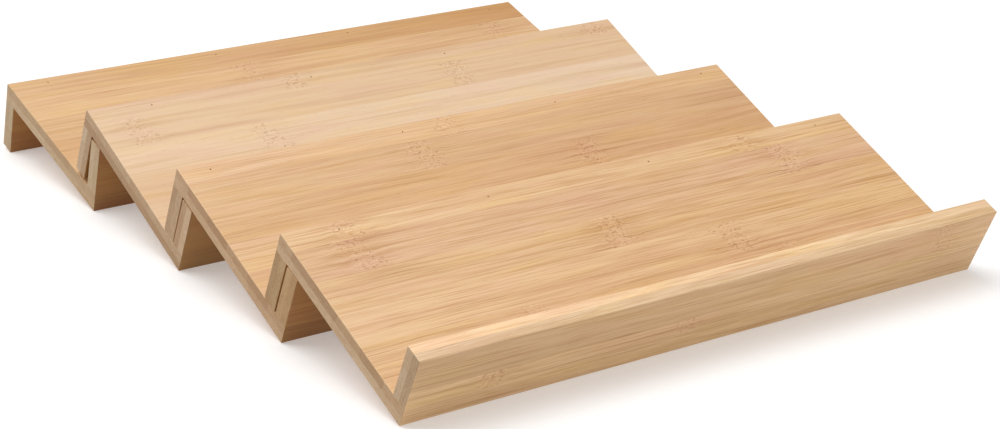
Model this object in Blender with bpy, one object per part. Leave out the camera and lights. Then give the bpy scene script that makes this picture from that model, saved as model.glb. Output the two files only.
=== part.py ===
"""A low rack of four identical bamboo tiers, hooked one over the other.

Each tier is a Z in side view: a sloping shelf board with a leg under its rear end and a lip on its
front end. The rearmost tier stands on its own leg. Each further tier hangs its leg behind the lip
of the tier behind it and rests its shelf on that lip. +X is right, -Y is the front, +Z is up, and
the origin is at the middle of the footprint, on the floor.
"""

import math

import bmesh
import bpy
from mathutils import Matrix, Vector

# Boards, in metres
TIERS = 4
BOARD_WIDTH = 0.337
BOARD_THICKNESS = 0.010
SHELF_LENGTH = 0.114
LEG_HEIGHT = 0.0295
LIP_HEIGHT = 0.029
GAP = 0.0003  # left wherever two boards, or a board and a pin, would touch
PLAY = {2: 0.0, 3: 0.0, 4: 0.0006}  # how much further each tier's leg stands from the lip behind it

# Headless steel pins. Each place is a pin's distance from the left end of its tier, because the
# pins are driven by hand and no two tiers are alike.
PIN_RADIUS = 0.0004
PIN_LENGTH = 0.020
PIN_SETBACK = 0.0004
PIN_SIDES = 12
PIN_TIP = 0.001
LEG_PIN_PLACES = {
    1: (0.022, 0.127, 0.216, 0.319),
    2: (0.035, 0.131, 0.218, 0.324),
    3: (0.016, 0.126, 0.222, 0.322),
    4: (0.028, 0.110, 0.206, 0.316),
}
LIP_PIN_PLACES = (0.030, 0.122, 0.215, 0.307)

# Tier tilts are searched between these, in radians
FLATTEST_TILT = math.radians(5)
STEEPEST_TILT = math.radians(45)

# Colours are linear
TIER_COLOURS = {
    1: (0.66, 0.42, 0.21),
    2: (0.76, 0.56, 0.37),
    3: (0.70, 0.46, 0.27),
    4: (0.72, 0.48, 0.27),
}
BAMBOO_ROUGHNESS = 0.48
STEEL_COLOUR = (0.45, 0.44, 0.43)
STEEL_ROUGHNESS = 0.35


# ---- how the tiers rest ------------------------------------------------------------------------
# A tier's own axes start at the front bottom edge of its shelf. Along is the way up the slope, to
# the rear, and out is square to the shelf, upwards.


def to_world(tier, along, out):
    """The (y, z) of a point of a tier, with the tier given as (front edge's y, tilt)."""
    front, tilt = tier
    y = front + along * math.cos(tilt) - out * math.sin(tilt)
    z = along * math.sin(tilt) + out * math.cos(tilt)
    return y, z


def to_tier(tier, point):
    """The (along, out) of a world (y, z) point."""
    front, tilt = tier
    y, z = point[0] - front, point[1]
    return y * math.cos(tilt) + z * math.sin(tilt), z * math.cos(tilt) - y * math.sin(tilt)


def room_along(behind, tier):
    """The least distance between the tier's leg and the lip behind it, along the slope."""
    lip_rear_top = to_tier(tier, to_world(behind, BOARD_THICKNESS, BOARD_THICKNESS + LIP_HEIGHT))
    leg_front = SHELF_LENGTH - BOARD_THICKNESS
    leg_front_foot = to_tier(behind, to_world(tier, leg_front, -LEG_HEIGHT))
    return min(leg_front - lip_rear_top[0], leg_front_foot[0] - BOARD_THICKNESS)


def room_below(behind, tier):
    """The least clearance of the tier over the tier behind: shelf over lip, and foot over shelf."""
    lip_top = BOARD_THICKNESS + LIP_HEIGHT
    lip_corners = [to_tier(tier, to_world(behind, along, lip_top)) for along in (0, BOARD_THICKNESS)]
    foot_corners = [
        to_tier(behind, to_world(tier, along, -LEG_HEIGHT))
        for along in (SHELF_LENGTH - BOARD_THICKNESS, SHELF_LENGTH)
    ]
    shelf_over_lip = min(-out for _, out in lip_corners)
    foot_over_shelf = min(out - BOARD_THICKNESS for _, out in foot_corners)
    return min(shelf_over_lip, foot_over_shelf)


def bisect(is_enough, low, high):
    """The least value between low and high for which is_enough is true."""
    for _ in range(60):
        middle = (low + high) / 2
        if is_enough(middle):
            high = middle
        else:
            low = middle
    return high


def first_tier():
    """The rearmost tier, which stands on its shelf's front edge and the front edge of its leg."""
    return 0.0, math.atan2(LEG_HEIGHT, SHELF_LENGTH - BOARD_THICKNESS)


def next_tier(behind, play):
    """A tier pulled forward until its leg nears the lip behind, and lowered until it rests."""

    def pulled_forward(tilt):
        def has_room(step):
            return room_along(behind, (behind[0] - SHELF_LENGTH + step, tilt)) >= GAP + play

        return behind[0] - SHELF_LENGTH + bisect(has_room, 0, SHELF_LENGTH), tilt

    def is_clear(tilt):
        return room_below(behind, pulled_forward(tilt)) >= GAP

    return pulled_forward(bisect(is_clear, FLATTEST_TILT, STEEPEST_TILT))


def resting_tiers():
    """The (front edge's y, tilt) of each tier, centred on the origin."""
    tiers = [first_tier()]
    for number in range(2, TIERS + 1):
        tiers.append(next_tier(tiers[-1], PLAY[number]))
    rearmost = to_world(tiers[0], SHELF_LENGTH, -LEG_HEIGHT)[0]
    foremost = to_world(tiers[-1], 0, BOARD_THICKNESS + LIP_HEIGHT)[0]
    middle = (rearmost + foremost) / 2
    return [(front - middle, tilt) for front, tilt in tiers]


# ---- materials ---------------------------------------------------------------------------------


def make_material(name, colour, roughness, metallic=0.0):
    material = bpy.data.materials.new(name)
    material.use_nodes = True
    surface = material.node_tree.nodes["Principled BSDF"]
    surface.inputs["Base Color"].default_value = (*colour, 1.0)
    surface.inputs["Roughness"].default_value = roughness
    surface.inputs["Metallic"].default_value = metallic
    return material


# ---- pieces ------------------------------------------------------------------------------------


def add_object(name, mesh, parent):
    piece = bpy.data.objects.new(name, mesh)
    piece.parent = parent
    bpy.context.collection.objects.link(piece)
    return piece


def add_rod(bm, place, radius, start, end, tip=0.0):
    """A closed rod at place = (x, along), square to the shelf, from out = start to out = end."""
    body_end = end - math.copysign(tip, end - start)
    middle = (start + body_end) / 2
    depth = abs(body_end - start)
    rod = bmesh.ops.create_cone(
        bm,
        cap_ends=True,
        segments=PIN_SIDES,
        radius1=radius,
        radius2=radius,
        depth=depth,
        matrix=Matrix.Translation((*place, middle)),
    )
    if tip:
        end_ring = [vert for vert in rod["verts"] if abs(vert.co.z - body_end) < depth / 4]
        cap = next(face for face in bm.faces if all(vert in end_ring for vert in face.verts))
        point = bmesh.ops.extrude_face_region(bm, geom=[cap])["geom"]
        ring = [item for item in point if isinstance(item, bmesh.types.BMVert)]
        bmesh.ops.delete(bm, geom=[cap], context="FACES_ONLY")
        bmesh.ops.translate(bm, vec=(0, 0, end - body_end), verts=ring)
        centre = Vector((*place, end))
        bmesh.ops.scale(bm, vec=(0.4, 0.4, 1), space=Matrix.Translation(-centre), verts=ring)


def add_hole_cutter(board, parent, holes):
    """Cuts round holes, each (x, along, start, end), from a board."""
    bm = bmesh.new()
    for x, along, start, end in holes:
        add_rod(bm, (x, along), PIN_RADIUS + GAP, start, end)
    mesh = bpy.data.meshes.new(board.name + "_holes")
    bm.to_mesh(mesh)
    bm.free()
    cutter = add_object(mesh.name, mesh, parent)
    cutter.hide_render = True
    cutter.display_type = "WIRE"
    cut = board.modifiers.new("pin holes", "BOOLEAN")
    cut.operation = "DIFFERENCE"
    cut.object = cutter


def add_board(name, parent, material, along, out, holes):
    """A square-cut board across the whole tier, with its extent along and out of the shelf."""
    bm = bmesh.new()
    bmesh.ops.create_cube(bm, size=1)
    size = (BOARD_WIDTH, along[1] - along[0], out[1] - out[0])
    bmesh.ops.scale(bm, vec=size, verts=bm.verts)
    bmesh.ops.translate(bm, vec=(0, sum(along) / 2, sum(out) / 2), verts=bm.verts)
    mesh = bpy.data.meshes.new(name)
    bm.to_mesh(mesh)
    bm.free()
    mesh.materials.append(material)
    board = add_object(name, mesh, parent)
    add_hole_cutter(board, parent, holes)


def add_pin(name, parent, material, place, start, end):
    bm = bmesh.new()
    add_rod(bm, place, PIN_RADIUS, start, end, tip=PIN_TIP)
    mesh = bpy.data.meshes.new(name)
    bm.to_mesh(mesh)
    bm.free()
    mesh.materials.append(material)
    mesh.shade_smooth()
    mesh.set_sharp_from_angle(angle=math.radians(30))
    add_object(name, mesh, parent)


def add_tier(number, tier, bamboo, steel):
    """One tier: an empty at its shelf's front bottom edge, three boards and two rows of pins."""
    front, tilt = tier
    frame = bpy.data.objects.new(f"tier_{number}", None)
    frame.location = (0, front, 0)
    frame.rotation_euler = (tilt, 0, 0)
    bpy.context.collection.objects.link(frame)

    thick = BOARD_THICKNESS
    past = GAP * 2  # a cutter runs this far past the face that it opens
    leg_pin_row = SHELF_LENGTH - thick / 2
    lip_pin_row = thick / 2
    leg_pin_top = thick - PIN_SETBACK
    leg_pin_point = leg_pin_top - PIN_LENGTH
    lip_pin_head = PIN_SETBACK
    lip_pin_point = lip_pin_head + PIN_LENGTH
    leg_pins = [place - BOARD_WIDTH / 2 for place in LEG_PIN_PLACES[number]]
    lip_pins = [place - BOARD_WIDTH / 2 for place in LIP_PIN_PLACES]

    through = [(x, leg_pin_row, -past, thick + past) for x in leg_pins]
    through += [(x, lip_pin_row, -past, thick + past) for x in lip_pins]
    into_leg = [(x, leg_pin_row, leg_pin_point - GAP, past) for x in leg_pins]
    into_lip = [(x, lip_pin_row, thick - past, lip_pin_point + GAP) for x in lip_pins]

    name = f"tier_{number}"
    add_board(f"{name}_shelf", frame, bamboo, (0, SHELF_LENGTH), (0, thick), through)
    add_board(
        f"{name}_rear_leg", frame, bamboo, (SHELF_LENGTH - thick, SHELF_LENGTH), (-LEG_HEIGHT, -GAP), into_leg
    )
    add_board(f"{name}_front_lip", frame, bamboo, (0, thick), (thick + GAP, thick + LIP_HEIGHT), into_lip)
    for count, x in enumerate(leg_pins, start=1):
        add_pin(f"{name}_leg_pin_{count}", frame, steel, (x, leg_pin_row), leg_pin_top, leg_pin_point)
    for count, x in enumerate(lip_pins, start=1):
        add_pin(f"{name}_lip_pin_{count}", frame, steel, (x, lip_pin_row), lip_pin_head, lip_pin_point)


def main():
    for item in list(bpy.data.objects):
        bpy.data.objects.remove(item)
    steel = make_material("pin_steel", STEEL_COLOUR, STEEL_ROUGHNESS, metallic=1.0)
    for number, tier in enumerate(resting_tiers(), start=1):
        bamboo = make_material(f"tier_{number}_bamboo", TIER_COLOURS[number], BAMBOO_ROUGHNESS)
        add_tier(number, tier, bamboo, steel)


main()
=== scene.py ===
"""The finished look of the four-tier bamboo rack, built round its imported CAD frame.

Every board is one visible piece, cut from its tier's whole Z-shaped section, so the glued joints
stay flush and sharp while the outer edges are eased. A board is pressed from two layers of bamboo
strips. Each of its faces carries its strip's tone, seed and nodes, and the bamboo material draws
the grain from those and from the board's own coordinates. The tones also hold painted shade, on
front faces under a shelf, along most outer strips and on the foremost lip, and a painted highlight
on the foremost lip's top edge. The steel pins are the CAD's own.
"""

import collections
import math
import random

import bmesh
import bpy
from mathutils import Matrix, Vector


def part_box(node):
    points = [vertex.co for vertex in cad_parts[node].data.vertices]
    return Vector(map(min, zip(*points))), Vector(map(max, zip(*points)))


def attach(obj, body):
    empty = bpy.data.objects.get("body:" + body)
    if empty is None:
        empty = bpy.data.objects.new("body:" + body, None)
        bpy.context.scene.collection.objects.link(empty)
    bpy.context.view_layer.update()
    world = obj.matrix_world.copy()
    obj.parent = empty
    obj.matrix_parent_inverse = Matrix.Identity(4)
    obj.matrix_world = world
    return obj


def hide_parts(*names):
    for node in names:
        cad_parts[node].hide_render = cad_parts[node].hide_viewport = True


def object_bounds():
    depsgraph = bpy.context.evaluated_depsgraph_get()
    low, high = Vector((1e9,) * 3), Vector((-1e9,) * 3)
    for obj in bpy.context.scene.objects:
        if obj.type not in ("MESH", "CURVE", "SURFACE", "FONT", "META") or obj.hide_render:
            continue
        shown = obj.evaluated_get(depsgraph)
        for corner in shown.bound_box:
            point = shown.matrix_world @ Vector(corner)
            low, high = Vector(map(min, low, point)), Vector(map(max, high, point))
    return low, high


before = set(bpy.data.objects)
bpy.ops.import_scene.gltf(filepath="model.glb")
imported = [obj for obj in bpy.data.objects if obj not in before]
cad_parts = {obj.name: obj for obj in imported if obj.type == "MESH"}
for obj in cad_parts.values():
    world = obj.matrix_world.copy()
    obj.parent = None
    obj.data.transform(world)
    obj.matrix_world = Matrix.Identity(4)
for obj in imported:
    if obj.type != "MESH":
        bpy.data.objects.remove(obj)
cad_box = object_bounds()

# Boards, in metres, as the CAD has them
TIERS = (1, 2, 3, 4)
KINDS = ("shelf", "rear_leg", "front_lip")
THICKNESS = 0.010
SHELF_LENGTH = 0.114
LEG_HEIGHT = 0.0295
LIP_HEIGHT = 0.029
LEFT_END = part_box("tier_1_shelf")[0].x
RIGHT_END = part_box("tier_1_shelf")[1].x

# Workmanship, in metres
EASING = 0.0004  # radius of the sanded outer edges
EASING_STEPS = 3
SEAM = 0.00002  # a shelf's slice runs this far past its own faces, into the leg and the lip
HOLE_RADIUS = 0.00044
HOLE_SIDES = 20
HOLE_RELIEF = 0.00012  # a pin's hole runs this far past the pin's point
SHARP_ANGLE = math.radians(50)  # a turn sharper than this is an edge
STRIP_WIDTH = 0.021
NARROWEST_STRIP = STRIP_WIDTH / 8
LAYER_THICKNESS = THICKNESS / 2
PAST = 0.002  # how far a cutter starts outside the board
SQUARE_ON = 0.9  # a face whose normal has this share of an axis looks along it
SLANTING = 0.1  # a face whose normal has this share of a second axis is an eased edge

# What is drawn by lot, and between which values
FIRST_STRIP_SHARES = (0.3, 0.9)
NODE_PLACES = (0.01, 0.327)
NODE_STRENGTHS = (0.6, 1.0)
END_SHADES = (0.95, 1.02)

# How far apart the noises of two tiers, boards, layers or strips are
SEED_STEPS = (7.1, 2.3, 31.0, 1.7)

# Tones of the strips, as shares of their tier's colour. Some stand for painted shade or a painted
# highlight, as marked.
PLAIN = (1.0, 1.0, 1.0)
STRAW = (1.04, 1.06, 1.08)
PALE = (1.05, 1.12, 1.22)
CREAM = (1.09, 1.12, 1.24)
ROSE = (0.96, 0.93, 0.97)
GILT = (0.98, 0.96, 0.92)
HONEY = (0.97, 0.93, 0.88)
AMBER = (0.91, 0.84, 0.76)
TAN = (0.91, 0.87, 0.83)
OLIVE = (0.91, 0.92, 0.88)
RUSSET = (0.82, 0.69, 0.49)
# painted shade, partly the lip's own tone: the foremost lip's front face darkens towards its left end
PAINTED_LIP_SHADE_LEFT = (0.75, 0.74, 0.70)
PAINTED_LIP_SHADE_RIGHT = (0.92, 0.895, 0.845)
LOOSE_TONES = (PLAIN, STRAW, ROSE, HONEY, AMBER)
PAINTED_RIM_HIGHLIGHT = ((1.39, 1.55, 1.88), (1.09, 1.18, 1.30))  # painted highlight: the foremost lip's top edge made paler, left and right
PAINTED_SHADE_TONES = {  # painted shade: front faces that stand in the shade of a shelf get this darker, browner tone, by board
    "shelf": (0.38, 0.26, 0.09),
    "rear_leg": (0.45, 0.31, 0.11),
    "front_lip": (0.44, 0.31, 0.12),
}

# Tones of the cut ends, by tier and board, as shares of the tier's colour
END_TONES = {
    (1, "shelf"): (1.00, 1.00, 1.00),
    (2, "shelf"): (0.99, 0.90, 0.80),
    (3, "shelf"): (0.92, 0.83, 0.76),
    (4, "shelf"): (0.87, 0.80, 0.74),
    (1, "rear_leg"): (0.92, 0.95, 0.98),
    (2, "rear_leg"): (1.07, 1.05, 1.03),
    (3, "rear_leg"): (0.82, 0.74, 0.69),
    (4, "rear_leg"): (0.73, 0.64, 0.49),
    (1, "front_lip"): (0.97, 0.99, 1.02),
    (2, "front_lip"): (1.08, 0.99, 0.90),
    (3, "front_lip"): (0.81, 0.69, 0.51),
    (4, "front_lip"): (0.83, 0.775, 0.75),
}
INNER_ENDS = {1: 1.06, 2: 0.80, 3: 1.11, 4: 1.13}  # an inner layer's shade, by tier
END_VIVIDNESS = 0.25  # how much of its strip's tone a cut end takes on
END_CONTRAST = 0.65  # how far the shades of cut ends differ
END_BROWNING = (1.0, 1.5, 2.1)  # a darker end loses more green than red, and more blue than green

# A node lies at a distance from the left end. A strip has a tone at its left end, another at its
# right, nodes, and the shade of its cut end. A layer has the place of its first joint, and strips.
Node = collections.namedtuple("Node", "place strength")
Strip = collections.namedtuple("Strip", "left right nodes end", defaults=((), 1.0))
Layer = collections.namedtuple("Layer", "first strips")
NO_NODE = Node(-1.0, 0.0)

# The outer layers that show, from the shelf's rear or the lip's top. Most of their strips darken
# towards the right end, partly their own tone and partly painted shade. Other strips are drawn by
# lot.
FRONT_EDGE = Strip(OLIVE, OLIVE)  # the foremost shelf's front edge, below its lip
OUTER_LAYERS = {
    (1, "shelf"): Layer(
        0.0185,
        (
            Strip(PLAIN, RUSSET, (), 0.90),
            Strip(STRAW, PLAIN, (Node(0.136, 0.7), Node(0.305, 0.7)), 0.88),
            Strip(PLAIN, PLAIN, (), 0.86),
            Strip(HONEY, PLAIN, (), 0.84),
            Strip(PLAIN, PLAIN, (), 0.88),
            Strip(STRAW, PLAIN, (), 0.90),
        ),
    ),
    (2, "shelf"): Layer(
        0.012,
        (
            Strip(PLAIN, HONEY, (Node(0.125, 0.9), Node(0.323, 1.0)), 0.96),
            Strip(PLAIN, GILT, (Node(0.021, 0.7), Node(0.219, 0.9)), 0.90),
            Strip(STRAW, PALE, (Node(0.085, 0.8),), 0.92),
            Strip(HONEY, HONEY, (Node(0.185, 0.6),), 0.88),
            Strip(PLAIN, PLAIN, (), 0.92),
            Strip(STRAW, STRAW, (), 0.90),
        ),
    ),
    (3, "shelf"): Layer(
        0.0135,
        (
            Strip(CREAM, GILT, (Node(0.151, 0.8),), 1.04),
            Strip(PLAIN, TAN, (Node(0.129, 1.0),), 0.84),
            Strip(GILT, AMBER, (Node(0.219, 1.0),), 0.76),
            Strip(STRAW, STRAW, (), 0.90),
            Strip(PLAIN, PLAIN, (), 0.80),
            Strip(PLAIN, PLAIN, (), 0.96),
        ),
    ),
    (4, "shelf"): Layer(
        0.0125,
        (
            Strip(STRAW, PLAIN, (Node(0.033, 0.8), Node(0.265, 0.9)), 1.0),
            Strip(ROSE, ROSE, (Node(0.030, 1.0), Node(0.281, 1.0)), 0.82),
            Strip(PLAIN, HONEY, (Node(0.159, 1.0),), 0.76),
            Strip(STRAW, GILT, (Node(0.215, 0.9),), 0.90),
            Strip(PLAIN, HONEY, (Node(0.088, 0.5), Node(0.245, 0.5)), 0.80),
            Strip(STRAW, STRAW, (), 1.0),
        ),
    ),
    (4, "front_lip"): Layer(
        0.019,
        (
            # painted shade: darker towards the left end
            Strip(PAINTED_LIP_SHADE_LEFT, PAINTED_LIP_SHADE_RIGHT, (Node(0.302, 0.7),), 0.98),
            Strip(OLIVE, OLIVE, (Node(0.044, 0.8), Node(0.149, 0.7)), 1.0),
        ),
    ),
}

# Colours are linear
TIER_COLOURS = {
    1: (0.70, 0.453, 0.241),
    2: (0.73, 0.517, 0.327),
    3: (0.735, 0.482, 0.268),
    4: (0.775, 0.516, 0.288),
}
STREAK_TINT = (0.80, 0.70, 0.56)  # dark fibres, as shares of the colour round them
NODE_TINT = (0.74, 0.62, 0.51)
# painted glint, partly pale fibre: the brightening of a node's threads
GLINT_TINT = (1.12, 1.18, 1.24)
BAND_TINT = (0.97, 0.93, 0.93)
BLUSH_TINT = (0.99, 0.95, 0.98)
GOLD_TINT = (1.01, 1.00, 0.91)
END_TINT = (0.72, 0.78, 0.85)
EDGE_TINT = (1.05, 1.04, 1.02)
TIER_FIGURE = {1: 1.2, 2: 0.45, 3: 1.35, 4: 1.8}  # how strongly each tier's grain shows
STEEL_COLOUR = (0.16, 0.15, 0.14)
DRAWN_TINT = (0.7, 0.68, 0.66)
RUST_COLOUR = (0.09, 0.045, 0.025)
FLOOR_COLOUR = (0.74, 0.74, 0.74)
FLOOR_SHADE = (0.72, 0.72, 0.72)

# Patterns, in millimetres. A noise has features of a size along the grain, across it and into the
# board. A wander moves points to either side, as far as its noise times its shift. A pattern starts
# to show where its noise is at start, is whole where it is at full, and is as strong as its amount.
Noise = collections.namedtuple("Noise", "size detail roughness", defaults=(2.0, 0.5))
Wander = collections.namedtuple("Wander", "noise shift")
Pattern = collections.namedtuple("Pattern", "noise start full amount", defaults=(1.0,))

# On a board's faces
RAGGED = Wander(Noise((9.0, 2.2, 2.2)), 11.0)  # a node's outline
LEANING = Wander(Noise((90.0, 14.0, 14.0), 1.0), 20.0)  # a node, across its strip
DRIFT = Wander(Noise((70.0, 14.0, 14.0), 1.0), 3.0)  # fibres
SWIRL = Wander(Noise((8.0, 5.0, 5.0), 1.0), 3.5)  # fibres beside a node
BLUSH = Pattern(Noise((60.0, 9.0, 9.0)), 0.5, 0.66)
GOLD = Pattern(BLUSH.noise, 0.5, 0.36)
BANDS = Pattern(Noise((130.0, 3.0, 3.0), 3.0), 0.44, 0.68, 0.50)
STREAKS = Pattern(Noise((72.0, 0.75, 0.75), 2.0, 0.55), 0.48, 0.70, 0.52)
FIBRES = Pattern(Noise((32.0, 0.45, 0.45), 2.0, 0.6), 0.42, 0.68, 0.44)
DASHES = Pattern(Noise((6.0, 0.45, 0.45), 1.0), 0.64, 0.76, 0.5)
RUBBING = Pattern(Noise((12.0, 3.0, 3.0)), 0.35, 0.65)
RUBBING_SEED = 0.5

# In a node, and in the halo round it where its fibres spread
NODE_REACH = (9.5, 4.0)  # how far from its middle it starts, and is whole
HALO_REACH = (26.0, 5.0)
NODE_STREAKS = -0.4  # how much stronger, or weaker, the streaks are there
HALO_STREAKS = 0.4
FLECKS = Pattern(Noise((2.2, 1.3, 1.3), 1.5, 0.6), 0.54, 0.66, 0.85)
THREAD_LEVEL = 0.47  # pale threads, partly a painted glint, run where the flecks' noise is at this level
THREADS = Pattern(FLECKS.noise, 0.055, 0.015)

# On a cut end
END_MARGIN = 0.2  # what is this near a board's end is on its cut end
VESSEL_SIZE = (1.0, 0.62, 0.62)
VESSEL_EDGE = (0.42, 0.2)  # how far from its middle a vessel starts, and is whole
VESSEL_AMOUNT = 0.5
MOTTLE = Pattern(Noise((1.0, 1.1, 1.1), 3.0), 0.35, 0.7, 0.4)
LINES = Pattern(Noise((1.0, 7.0, 0.7)), 0.45, 0.65, 0.55)

# Bamboo's roughness, and what adds to it. Heights are shares of the bump's distance, in metres.
BAMBOO_ROUGHNESS = 0.40
FIBRE_ROUGHNESS = 0.16
END_ROUGHNESS = 0.22
NODE_ROUGHNESS = 0.06
FIBRE_HEIGHT = -0.5
FLECK_HEIGHT = -1.7
THREAD_HEIGHT = 1.3
VESSEL_HEIGHT = -0.8
BAMBOO_BUMP = {"Strength": 0.35, "Distance": 0.0002}

# On the pins: drawn lines along the wire, and rust
DRAWN = Noise((1 / 6, 1 / 6, 1.0))
DRAWN_SEED = 0.3
RUST = Pattern(Noise((1.0, 1.0, 1.0), 3.0), 0.5, 0.62)
RUST_SEED = 4.0
STEEL_ROUGHNESS = 0.4
RUST_ROUGHNESS = 0.35
STEEL_BUMP = {"Strength": 0.3, "Distance": 0.00005}

# On the floor: faint clouds, a metre across
FLOOR_ROUGHNESS = 0.7
CLOUD_SEED = 1.0
CLOUD_DETAIL = 3.0

# The camera, in metres and degrees
CAMERA_PLACE = (-0.63822, -0.94271, 0.43060)
CAMERA_ANGLES = (69.170, -1.251, -34.524)
LENS_MM = 82.72
SENSOR_MM = 36.0

# Studio
FLOOR_SIZE = 24.0
FLOOR_GLOW = 0.30
WORLD_STRENGTH = 0.55
KEY_PLACE = (-0.35, 0.25, 1.7)
KEY_SIZE = 1.5
KEY_WATTS = 23.0
FILL_PLACE = (1.5, -1.3, 0.5)
FILL_SIZE = 1.0
FILL_WATTS = 3.0


# ---- shader building ---------------------------------------------------------------------------


class Shader:
    """Adds nodes to a new material and joins them. A value is a number, a tuple or a socket."""

    def __init__(self, name):
        self.material = bpy.data.materials.new(name)
        self.material.use_nodes = True
        self.tree = self.material.node_tree
        self.surface = self.tree.nodes["Principled BSDF"]

    def put(self, socket, value):
        if isinstance(value, bpy.types.NodeSocket):
            self.tree.links.new(value, socket)
        elif isinstance(value, tuple) and socket.type == "RGBA":
            socket.default_value = (*value, 1.0)
        else:
            socket.default_value = value

    def node(self, kind, inputs=None, **settings):
        made = self.tree.nodes.new(kind)
        for key, value in settings.items():
            setattr(made, key, value)
        for key, value in (inputs or {}).items():
            self.put(made.inputs[key], value)
        return made

    def attribute(self, name):
        return self.node("ShaderNodeAttribute", attribute_name=name).outputs

    def math(self, operation, *values):
        inputs = dict(enumerate(values))
        return self.node("ShaderNodeMath", inputs, operation=operation).outputs[0]

    def split(self, vector):
        return tuple(self.node("ShaderNodeSeparateXYZ", {0: vector}).outputs)

    def join(self, x, y, z):
        return self.node("ShaderNodeCombineXYZ", {0: x, 1: y, 2: z}).outputs[0]

    def ramp(self, value, start, end, low=0.0, high=1.0):
        """Value, eased from low at start to high at end, and level beyond."""
        inputs = {"Value": value, "From Min": start, "From Max": end, "To Min": low, "To Max": high}
        made = self.node("ShaderNodeMapRange", inputs, interpolation_type="SMOOTHSTEP")
        return made.outputs["Result"]

    def noise(self, vector, seed, detail=2.0, roughness=0.5):
        inputs = {"Vector": vector, "W": seed, "Scale": 1.0, "Detail": detail, "Roughness": roughness}
        made = self.node("ShaderNodeTexNoise", inputs, noise_dimensions="4D")
        return made.outputs["Fac"]

    def tint(self, amount, colour, tint):
        """Colour, multiplied by tint as far as amount says."""
        made = self.node("ShaderNodeMix", data_type="RGBA", blend_type="MULTIPLY", clamp_factor=True)
        self.put(made.inputs["Factor"], amount)
        self.put(made.inputs[6], colour)
        self.put(made.inputs[7], tint)
        return made.outputs[2]

    def mix(self, share, colour, other):
        """Colour at a share of 0, other at 1."""
        made = self.node("ShaderNodeMix", data_type="RGBA", blend_type="MIX", clamp_factor=True)
        self.put(made.inputs["Factor"], share)
        self.put(made.inputs[6], colour)
        self.put(made.inputs[7], other)
        return made.outputs[2]

    def finish(self, **sockets):
        for name, value in sockets.items():
            self.put(self.surface.inputs[name.replace("_", " ")], value)
        return self.material


def in_millimetres(shader, vector):
    """The x, y and z of a vector in metres."""
    inputs = {0: vector, "Scale": 1000.0}
    scaled = shader.node("ShaderNodeVectorMath", inputs, operation="SCALE")
    return shader.split(scaled.outputs[0])


def stretched(shader, point, size):
    """The point, so that a noise of it has features of this size."""
    return shader.join(*(shader.math("DIVIDE", value, length) for value, length in zip(point, size)))


def noise_at(shader, point, seed, noise):
    return shader.noise(stretched(shader, point, noise.size), seed, noise.detail, noise.roughness)


def shift_at(shader, point, seed, wander):
    """How far a wander moves the point, to either side."""
    noise = noise_at(shader, point, seed, wander.noise)
    return shader.math("MULTIPLY", shader.math("SUBTRACT", noise, 0.5), wander.shift)


def shown(shader, noise, pattern, mask, share=1.0):
    """How strongly a pattern shows where the mask lets it."""
    level = shader.ramp(noise, pattern.start, pattern.full)
    return shader.math("MULTIPLY", level, shader.math("MULTIPLY", mask, pattern.amount * share))


def node_masks(shader, point, seed, places, strengths):
    """Where a strip's nodes are, and where their halos are. The nodes' places are in metres."""
    ragged = shift_at(shader, point, seed, RAGGED)
    leaning = shift_at(shader, point, seed, LEANING)
    wobble = shader.math("ADD", ragged, leaning)

    def near(place, strength, reach):
        offset = shader.math("SUBTRACT", point[0], shader.math("MULTIPLY", place, 1000.0))
        distance = shader.math("ABSOLUTE", shader.math("ADD", offset, wobble))
        return shader.math("MULTIPLY", shader.ramp(distance, *reach), strength)

    masks = []
    for reach in (NODE_REACH, HALO_REACH):
        both = [near(place, strength, reach) for place, strength in zip(places, strengths)]
        masks.append(shader.math("MAXIMUM", *both))
    return masks


def follow_fibres(shader, point, seed, halo):
    """The point, moved across the grain as fibres wander: a little, and more beside a node."""
    grain, side, depth = point
    side = shader.math("ADD", side, shift_at(shader, point, seed, DRIFT))
    swirl = shift_at(shader, (grain, side, depth), seed, SWIRL)
    side = shader.math("ADD", side, shader.math("MULTIPLY", swirl, halo))
    return grain, side, depth


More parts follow.
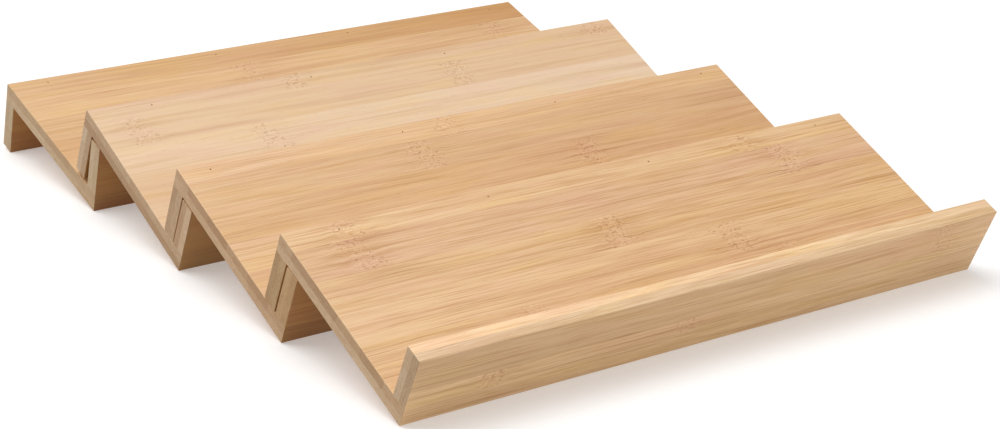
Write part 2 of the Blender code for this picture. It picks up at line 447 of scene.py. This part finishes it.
def bamboo_material(name, colour, figure):
    """Planed and lacquered bamboo. Lengths in here are in millimetres."""
    shader = Shader(name)
    point = in_millimetres(shader, shader.attribute("board")["Vector"])
    left_tone = shader.attribute("strip_left")["Color"]
    right_tone = shader.attribute("strip_right")["Color"]
    *node_places, seed = shader.split(shader.attribute("strip_nodes")["Vector"])
    *node_strengths, eased = shader.split(shader.attribute("strip_marks")["Vector"])
    width = (RIGHT_END - LEFT_END) * 1000

    # Where the cut ends and the nodes are
    at_left = shader.math("LESS_THAN", point[0], END_MARGIN)
    at_right = shader.math("GREATER_THAN", point[0], width - END_MARGIN)
    end = shader.math("MAXIMUM", at_left, at_right)
    face = shader.math("SUBTRACT", 1.0, end)
    node, halo = node_masks(shader, point, seed, node_places, node_strengths)

    point = follow_fibres(shader, point, seed, halo)
    blush, bands, streaks, fibres, dashes, flecks = (
        noise_at(shader, point, seed, pattern.noise)
        for pattern in (BLUSH, BANDS, STREAKS, FIBRES, DASHES, FLECKS)
    )

    # The strip's tone, from its left to its right end, with rosy and golden patches. The tone carries
    # painted shade and a painted highlight where the faces hold them.
    tone = shader.mix(shader.math("DIVIDE", point[0], width), left_tone, right_tone)
    base = shader.tint(1.0, colour, tone)
    base = shader.tint(shown(shader, blush, BLUSH, face), base, BLUSH_TINT)
    base = shader.tint(shown(shader, blush, GOLD, face), base, GOLD_TINT)

    # Tone bands, brown streaks, fine fibres and short dashes
    spread = shader.math("MULTIPLY_ADD", halo, HALO_STREAKS, 1.0)
    spread = shader.math("MULTIPLY_ADD", node, NODE_STREAKS, spread)
    for noise, pattern, share in (
        (bands, BANDS, 1.0),
        (streaks, STREAKS, figure),
        (fibres, FIBRES, figure),
    ):
        amount = shader.math("MULTIPLY", shown(shader, noise, pattern, face, share), spread)
        base = shader.tint(amount, base, STREAK_TINT)
    base = shader.tint(shown(shader, dashes, DASHES, face), base, NODE_TINT)

    # A node: a rosy band of curling pale threads, partly a painted glint on their ridges, with short
    # dark flecks between them
    node_on_face = shader.math("MULTIPLY", node, face)
    fleck_amount = shown(shader, flecks, FLECKS, node_on_face)
    off_thread = shader.math("ABSOLUTE", shader.math("SUBTRACT", flecks, THREAD_LEVEL))
    thread_and_glint_amount = shown(shader, off_thread, THREADS, node)
    base = shader.tint(node_on_face, base, BAND_TINT)
    base = shader.tint(fleck_amount, base, NODE_TINT)
    base = shader.tint(shader.math("MULTIPLY", thread_and_glint_amount, face), base, GLINT_TINT)

    # A cut end: vessels as fine dots, a mottle, and lines along the layers
    end_point = (0.0, *point[1:])
    inputs = {"Vector": stretched(shader, end_point, VESSEL_SIZE), "Scale": 1.0}
    vessels = shader.node("ShaderNodeTexVoronoi", inputs, feature="F1").outputs["Distance"]
    vessel_amount = shader.math("MULTIPLY", shader.ramp(vessels, *VESSEL_EDGE), end)
    mottle = noise_at(shader, end_point, seed, MOTTLE.noise)
    lines = noise_at(shader, end_point, seed, LINES.noise)
    base = shader.tint(end, base, END_TINT)
    base = shader.tint(shader.math("MULTIPLY", vessel_amount, VESSEL_AMOUNT), base, NODE_TINT)
    base = shader.tint(shown(shader, mottle, MOTTLE, end), base, STREAK_TINT)
    base = shader.tint(shown(shader, lines, LINES, end), base, STREAK_TINT)

    # Rubbed edges, unevenly
    rubbing = noise_at(shader, point, RUBBING_SEED, RUBBING.noise)
    base = shader.tint(shown(shader, rubbing, RUBBING, eased), base, EDGE_TINT)

    roughness = shader.math("MULTIPLY_ADD", fibres, FIBRE_ROUGHNESS, BAMBOO_ROUGHNESS)
    roughness = shader.math("MULTIPLY_ADD", end, END_ROUGHNESS, roughness)
    roughness = shader.math("MULTIPLY_ADD", node, NODE_ROUGHNESS, roughness)

    height = shader.math("MULTIPLY", fibres, FIBRE_HEIGHT)
    height = shader.math("MULTIPLY_ADD", fleck_amount, FLECK_HEIGHT, height)
    height = shader.math("MULTIPLY_ADD", thread_and_glint_amount, THREAD_HEIGHT, height)
    height = shader.math("MULTIPLY_ADD", vessel_amount, VESSEL_HEIGHT, height)
    bump = shader.node("ShaderNodeBump", {"Height": height, **BAMBOO_BUMP})
    return shader.finish(Base_Color=base, Roughness=roughness, Normal=bump.outputs[0])


def steel_material():
    """Bright-drawn wire that has dulled, with specks of rust."""
    shader = Shader("dull_steel")
    point = in_millimetres(shader, shader.node("ShaderNodeTexCoord").outputs["Object"])
    drawn = noise_at(shader, point, DRAWN_SEED, DRAWN)
    specks = noise_at(shader, point, RUST_SEED, RUST.noise)
    steel = shader.tint(drawn, STEEL_COLOUR, DRAWN_TINT)
    rust = shader.ramp(specks, RUST.start, RUST.full)
    base = shader.mix(rust, steel, RUST_COLOUR)
    roughness = shader.math("MULTIPLY_ADD", rust, RUST_ROUGHNESS, STEEL_ROUGHNESS)
    bump = shader.node("ShaderNodeBump", {"Height": drawn, **STEEL_BUMP})
    return shader.finish(Base_Color=base, Metallic=1.0, Roughness=roughness, Normal=bump.outputs[0])


def floor_material():
    """A pale floor with faint clouds, which glows a little so that its far part stays pale."""
    shader = Shader("pale_floor")
    place = shader.node("ShaderNodeTexCoord").outputs["Object"]
    cloud = shader.noise(place, CLOUD_SEED, CLOUD_DETAIL)
    return shader.finish(
        Base_Color=shader.mix(cloud, FLOOR_COLOUR, FLOOR_SHADE),
        Roughness=FLOOR_ROUGHNESS,
        Emission_Color=(1.0, 1.0, 1.0),
        Emission_Strength=FLOOR_GLOW,
    )


# ---- boards ------------------------------------------------------------------------------------
# A tier's own axes, as in the CAD, start at the front bottom edge of its shelf: x to the right,
# along up the slope to the rear, and out square to the shelf, upwards.


def tier_matrix(number):
    """The tier's own axes, placed in the row frame, from the box of its shelf."""
    low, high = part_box(f"tier_{number}_shelf")
    diagonal = math.hypot(SHELF_LENGTH, THICKNESS)
    tilt = math.asin((high.z - low.z) / diagonal) - math.atan2(THICKNESS, SHELF_LENGTH)
    front = low.y + THICKNESS * math.sin(tilt)
    return Matrix.Translation((0, front, low.z)) @ Matrix.Rotation(tilt, 4, "X")


def board_point(kind, point):
    """A point of a tier as (along the grain, across the strips, depth from the outer face)."""
    x, along, out = point
    if kind == "shelf":
        return x - LEFT_END, SHELF_LENGTH - along, THICKNESS - out
    if kind == "rear_leg":
        return x - LEFT_END, -out, SHELF_LENGTH - along
    return x - LEFT_END, THICKNESS + LIP_HEIGHT - out, along


def tier_plane(kind, side):
    """The plane of a tier where its board's second board_point coordinate is side."""
    if kind == "shelf":
        return (0, SHELF_LENGTH - side, 0), (0, 1, 0)
    if kind == "rear_leg":
        return (0, 0, -side), (0, 0, 1)
    return (0, 0, THICKNESS + LIP_HEIGHT - side), (0, 0, 1)


def layer_plane(kind):
    """The plane of a tier that parts the two layers of a board."""
    if kind == "shelf":
        return (0, 0, THICKNESS - LAYER_THICKNESS), (0, 0, 1)
    if kind == "rear_leg":
        return (0, SHELF_LENGTH - LAYER_THICKNESS, 0), (0, 1, 0)
    return (0, LAYER_THICKNESS, 0), (0, 1, 0)


def everything(bm):
    return bm.verts[:] + bm.edges[:] + bm.faces[:]


def tier_solid():
    """One whole tier, with its outer edges eased and its two inner corners sharp."""
    rear, thick = SHELF_LENGTH, THICKNESS
    inner_corners = ((thick, thick), (rear - thick, 0))
    outline = (
        (rear - thick, -LEG_HEIGHT),
        (rear, -LEG_HEIGHT),
        (rear, thick),
        inner_corners[0],
        (thick, thick + LIP_HEIGHT),
        (0, thick + LIP_HEIGHT),
        (0, 0),
        inner_corners[1],
    )
    bm = bmesh.new()
    cap = bm.faces.new([bm.verts.new((LEFT_END, along, out)) for along, out in outline])
    grown = bmesh.ops.extrude_face_region(bm, geom=[cap], use_keep_orig=True)["geom"]
    moved = [item for item in grown if isinstance(item, bmesh.types.BMVert)]
    bmesh.ops.translate(bm, vec=(RIGHT_END - LEFT_END, 0, 0), verts=moved)
    bmesh.ops.recalc_face_normals(bm, faces=bm.faces[:])
    outer = []
    for edge in bm.edges:
        one, other = (vert.co for vert in edge.verts)
        lengthwise = abs(one.x - other.x) > EASING
        inner = any(math.dist(one[1:], corner) < EASING for corner in inner_corners)
        if not (lengthwise and inner):
            outer.append(edge)
    bmesh.ops.bevel(
        bm, geom=outer, offset=EASING, segments=EASING_STEPS, profile=0.5, affect="EDGES"
    )
    return bm


def keep_side(bm, level, above):
    """Cuts the solid square to out at this level, keeps one part, and closes the cut."""
    cut = bmesh.ops.bisect_plane(
        bm,
        geom=everything(bm),
        plane_co=(0, 0, level),
        plane_no=(0, 0, 1),
        clear_inner=above,
        clear_outer=not above,
    )
    edges = [item for item in cut["geom_cut"] if isinstance(item, bmesh.types.BMEdge)]
    bmesh.ops.holes_fill(bm, edges=edges, sides=0)


def joint_places(first, height):
    """Where the joints between a layer's strips lie, across the strips."""
    places = []
    place = first
    while place < height - NARROWEST_STRIP:
        places.append(place)
        place += STRIP_WIDTH
    return places


def board_height(kind):
    return {"shelf": SHELF_LENGTH, "rear_leg": LEG_HEIGHT, "front_lip": LIP_HEIGHT}[kind]


def board_layers(number, kind):
    """The outer and the inner layer of a board."""
    lot = random.Random(f"{number} {kind}")
    layers = []
    for given in (OUTER_LAYERS.get((number, kind)), None):
        first = given.first if given else STRIP_WIDTH * lot.uniform(*FIRST_STRIP_SHARES)
        strips = list(given.strips) if given else []
        count = len(joint_places(first, board_height(kind))) + 1
        while len(strips) < count:
            node = Node(lot.uniform(*NODE_PLACES), lot.uniform(*NODE_STRENGTHS))
            left, right = lot.choice(LOOSE_TONES), lot.choice(LOOSE_TONES)
            strips.append(Strip(left, right, (node,), lot.uniform(*END_SHADES)))
        layers.append(Layer(first, strips))
    return layers


def pin_holes(number, kind):
    """The (x, along, lowest out, highest out) of each pin that runs through a board."""
    inverse = tier_matrix(number).inverted()
    holes = []
    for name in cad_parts:
        if not name.startswith(f"tier_{number}_") or "_pin_" not in name:
            continue
        in_leg = "_leg_pin_" in name
        if (kind == "rear_leg" and not in_leg) or (kind == "front_lip" and in_leg):
            continue
        verts = [inverse @ vert.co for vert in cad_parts[name].data.vertices]
        x, along = (sum(vert[axis] for vert in verts) / len(verts) for axis in (0, 1))
        low = min(vert.z for vert in verts)
        high = max(vert.z for vert in verts)
        if kind == "shelf":
            holes.append((x, along, -PAST, THICKNESS + PAST))
        elif in_leg:
            holes.append((x, along, low - HOLE_RELIEF, PAST))
        else:
            holes.append((x, along, THICKNESS - PAST, high + HOLE_RELIEF))
    return holes


def drill(mesh, holes):
    """Cuts round holes from a mesh and returns the drilled one."""
    bm = bmesh.new()
    for x, along, low, high in holes:
        bmesh.ops.create_cone(
            bm,
            cap_ends=True,
            segments=HOLE_SIDES,
            radius1=HOLE_RADIUS,
            radius2=HOLE_RADIUS,
            depth=high - low,
            matrix=Matrix.Translation((x, along, (low + high) / 2)),
        )
    drills = bpy.data.meshes.new("drills")
    bm.to_mesh(drills)
    bm.free()
    cutter = bpy.data.objects.new("drills", drills)
    board = bpy.data.objects.new("board", mesh)
    for item in (cutter, board):
        bpy.context.scene.collection.objects.link(item)
    cut = board.modifiers.new("drill", "BOOLEAN")
    cut.operation = "DIFFERENCE"
    cut.solver = "EXACT"
    cut.object = cutter
    weighted = board.modifiers.new("flat faces", "WEIGHTED_NORMAL")
    weighted.mode = "FACE_AREA"
    weighted.keep_sharp = True
    bpy.context.view_layer.update()
    graph = bpy.context.evaluated_depsgraph_get()
    drilled = bpy.data.meshes.new_from_object(board.evaluated_get(graph))
    for item in (board, cutter):
        bpy.data.objects.remove(item)
    bpy.data.meshes.remove(drills)
    return drilled


def is_cut_end(grain, normal):
    """Whether a face lies on a board's cut end, and isn't the wall of a pin's hole."""
    near_end = grain < EASING or grain > RIGHT_END - LEFT_END - EASING
    return near_end and abs(normal.x) > SQUARE_ON


def is_front_edge(kind, side):
    return kind == "shelf" and side > SHELF_LENGTH - EASING


def is_foremost_rim(number, kind, side):
    return number == TIERS[-1] and kind == "front_lip" and side < EASING


def gets_painted_shade(number, kind, side, depth):
    """Whether a board_point lies on a front face that stands in the shade of a shelf, and so gets a
    painted shade.
    """
    if kind == "rear_leg":
        return depth > THICKNESS - EASING
    if number == TIERS[-1]:
        return False
    if kind == "front_lip":
        return depth < EASING
    return is_front_edge(kind, side)


def end_tone(number, kind, strip, inner):
    """The tone of a strip's cut end."""
    shade = strip.end**END_CONTRAST * (INNER_ENDS[number] if inner else 1.0)
    shares = END_TONES[number, kind]
    return tuple(shade**power * share for power, share in zip(END_BROWNING, shares))


def face_tones(number, kind, strip, point, normal):
    """The tones, at the board's left and right ends, of a strip's face at this board_point, with
    painted shade or a painted highlight where marked.
    """
    grain, side, depth = point
    tints = (PLAIN, PLAIN)
    vividness = 1.0
    if is_cut_end(grain, normal):
        tints = (end_tone(number, kind, strip, depth > LAYER_THICKNESS),) * 2
        vividness = END_VIVIDNESS
    # painted highlight: the foremost lip's top edge is made paler
    elif is_foremost_rim(number, kind, side):
        tints = PAINTED_RIM_HIGHLIGHT
    # painted shade: a front face under a shelf takes a darker, browner tone
    elif gets_painted_shade(number, kind, side, depth):
        tints = (PAINTED_SHADE_TONES[kind],) * 2
    return [
        [value**vividness * share for value, share in zip(tone, tint)]
        for tone, tint in zip((strip.left, strip.right), tints)
    ]


def strip_seed(number, kind, inner, index):
    """Where a strip starts in the noise, so that no two strips have the same grain."""
    counts = (number, KINDS.index(kind), inner, index)
    return sum(count * step for count, step in zip(counts, SEED_STEPS))


def write_strips(mesh, number, kind, layers):
    """Stores the board's coordinates on its points, and its strips' tones and nodes on its faces."""
    points = [board_point(kind, vert.co) for vert in mesh.vertices]
    board = mesh.attributes.new("board", "FLOAT_VECTOR", "POINT")
    board.data.foreach_set("vector", [value for point in points for value in point])

    lefts, rights, nodes, marks = [], [], [], []
    for polygon in mesh.polygons:
        point = board_point(kind, polygon.center)
        side, depth = point[1:]
        inner = depth > LAYER_THICKNESS
        layer = layers[inner]
        index = sum(side > place for place in joint_places(layer.first, board_height(kind)))
        strip = layer.strips[index]
        if number == TIERS[-1] and is_front_edge(kind, side):
            strip = FRONT_EDGE
        left, right = face_tones(number, kind, strip, point, polygon.normal)
        lefts += [*left, 1.0]
        rights += [*right, 1.0]
        # the foremost lip's top edge, under its painted highlight, shows no nodes
        seen_nodes = () if is_foremost_rim(number, kind, side) else strip.nodes
        first, second = (*seen_nodes, NO_NODE, NO_NODE)[:2]
        nodes += [first.place, second.place, strip_seed(number, kind, inner, index)]
        eased = sorted(abs(value) for value in polygon.normal)[1] > SLANTING
        marks += [first.strength, second.strength, float(eased)]
    for name, values in (("strip_left", lefts), ("strip_right", rights)):
        attribute = mesh.attributes.new(name, "FLOAT_COLOR", "FACE")
        attribute.data.foreach_set("color", values)
    for name, values in (("strip_nodes", nodes), ("strip_marks", marks)):
        attribute = mesh.attributes.new(name, "FLOAT_VECTOR", "FACE")
        attribute.data.foreach_set("vector", values)


def add_board(number, kind, material):
    """One finished board, in the place of its CAD node."""
    bm = tier_solid()
    if kind == "shelf":
        keep_side(bm, -SEAM, above=True)
        keep_side(bm, THICKNESS + SEAM, above=False)
    elif kind == "rear_leg":
        keep_side(bm, -SEAM, above=False)
    else:
        keep_side(bm, THICKNESS + SEAM, above=True)
    layers = board_layers(number, kind)
    planes = [layer_plane(kind)]
    for layer in layers:
        planes += [tier_plane(kind, place) for place in joint_places(layer.first, board_height(kind))]
    for place, normal in planes:
        bmesh.ops.bisect_plane(bm, geom=everything(bm), plane_co=place, plane_no=normal)
    mesh = bpy.data.meshes.new(kind)
    bm.to_mesh(mesh)
    bm.free()
    mesh.shade_smooth()
    mesh.set_sharp_from_angle(angle=SHARP_ANGLE)
    mesh = drill(mesh, pin_holes(number, kind))
    write_strips(mesh, number, kind, layers)
    mesh.transform(tier_matrix(number))
    mesh.materials.clear()
    mesh.materials.append(material)
    mesh.name = f"tier_{number}_{kind}_board"
    board = bpy.data.objects.new(mesh.name, mesh)
    bpy.context.scene.collection.objects.link(board)
    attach(board, f"tier_{number}")
    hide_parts(f"tier_{number}_{kind}")


# ---- studio ------------------------------------------------------------------------------------


def add_floor():
    bpy.ops.mesh.primitive_plane_add(size=FLOOR_SIZE, location=(0, 0, cad_box[0].z))
    floor = bpy.context.object
    floor.name = "floor"
    floor.data.materials.append(floor_material())


def add_lights():
    world = bpy.data.worlds.new("studio")
    bpy.context.scene.world = world
    world.use_nodes = True
    sky = world.node_tree.nodes["Background"]
    sky.inputs["Color"].default_value = (1, 1, 1, 1)
    sky.inputs["Strength"].default_value = WORLD_STRENGTH
    for name, place, size, watts in (
        ("key", KEY_PLACE, KEY_SIZE, KEY_WATTS),
        ("fill", FILL_PLACE, FILL_SIZE, FILL_WATTS),
    ):
        lamp = bpy.data.lights.new(name, "AREA")
        lamp.shape = "SQUARE"
        lamp.size = size
        lamp.energy = watts
        light = bpy.data.objects.new(name, lamp)
        light.location = place
        light.rotation_euler = (-Vector(place)).to_track_quat("-Z", "Y").to_euler()
        bpy.context.scene.collection.objects.link(light)


def add_camera():
    lens = bpy.data.cameras.new("camera")
    lens.lens = LENS_MM
    lens.sensor_width = SENSOR_MM
    lens.sensor_fit = "HORIZONTAL"
    camera = bpy.data.objects.new("camera", lens)
    camera.location = CAMERA_PLACE
    camera.rotation_euler = tuple(math.radians(angle) for angle in CAMERA_ANGLES)
    bpy.context.scene.collection.objects.link(camera)
    bpy.context.scene.camera = camera


steel = steel_material()
for name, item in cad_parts.items():
    if "_pin_" in name:
        item.data.materials.clear()
        item.data.materials.append(steel)
for tier in TIERS:
    bamboo = bamboo_material(f"tier_{tier}_bamboo", TIER_COLOURS[tier], TIER_FIGURE[tier])
    for board_kind in KINDS:
        add_board(tier, board_kind, bamboo)
add_floor()
add_lights()
add_camera()
bpy.context.scene.view_settings.view_transform = "Standard"
